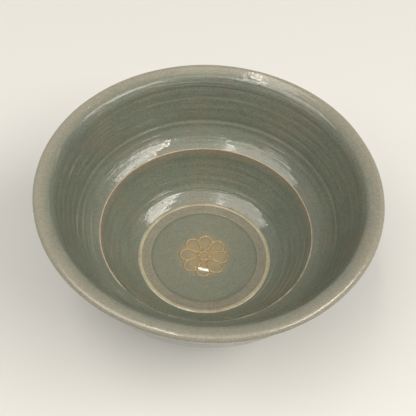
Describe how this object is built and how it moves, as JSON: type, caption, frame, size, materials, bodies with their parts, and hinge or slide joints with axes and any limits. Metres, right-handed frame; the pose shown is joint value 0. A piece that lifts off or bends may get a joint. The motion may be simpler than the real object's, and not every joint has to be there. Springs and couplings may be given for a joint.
{
  "type": "sake cup",
  "caption": "Small flared stoneware drinking cup on a foot ring, stepped inside, with a celadon glaze, an inlaid ring and a flower on its floor",
  "frame": {"origin": "centre of the foot ring's bottom circle, on the surface that the cup stands on", "axes": "+Z is the cup's axis of symmetry and points up, out of the mouth; +X is to the right and +Y away from someone who looks at the cup as in the picture"},
  "size_m": [0.084, 0.084, 0.0439],
  "materials": {
    "clay": "fired grey-brown stoneware, bare and matt",
    "celadon": "glossy grey-green celadon glaze with a fine crackle",
    "pooled_celadon": "thick pooled celadon glaze, glossy and greener",
    "thin_celadon": "thin grey-brown celadon glaze, glossy",
    "cream_slip": "cream slip inlay under clear glaze",
    "iron_slip": "ochre iron slip under clear glaze"
  },
  "bodies": {
    "root": {"cup_body": "clay", "foot_ring": "clay", "bowl_glaze": "celadon", "well_glaze": "celadon", "outer_glaze": "celadon", "base_glaze": "celadon", "inlay_ring": "cream_slip", "floor_band": "thin_celadon", "floor_glaze": "pooled_celadon", "flower": "iron_slip"}
  },
  "joints": []
}
